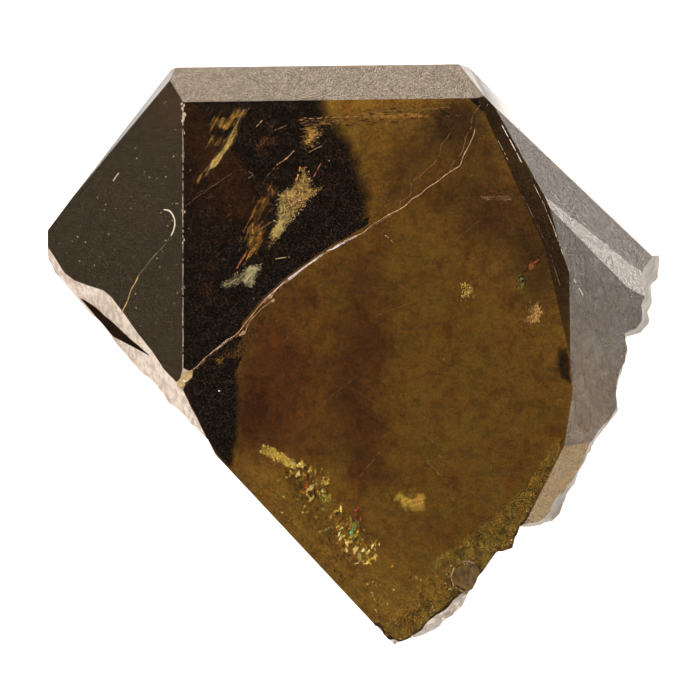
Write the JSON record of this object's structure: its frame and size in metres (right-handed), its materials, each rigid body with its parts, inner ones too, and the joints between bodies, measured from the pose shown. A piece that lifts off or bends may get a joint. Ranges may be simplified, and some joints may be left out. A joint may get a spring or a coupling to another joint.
{
  "type": "cassiterite crystal",
  "caption": "Stubby dark golden-brown cassiterite crystal with flat mirror-like faces, see-through with inner cracks, and a rough broken side.",
  "frame": {"origin": "centre of the bounding box in plan, at the height of the flat back face the crystal lies on", "axes": "+Z out of the big front face, +X to the crystal's right as seen from the front, +Y to its upper end"},
  "size_m": [0.0284, 0.0268, 0.0155],
  "materials": {
    "cassiterite": "clear smoky golden brown, bright polished faces, satin broken side"
  },
  "bodies": {
    "root": {"cassiterite_crystal": "cassiterite"}
  },
  "joints": []
}
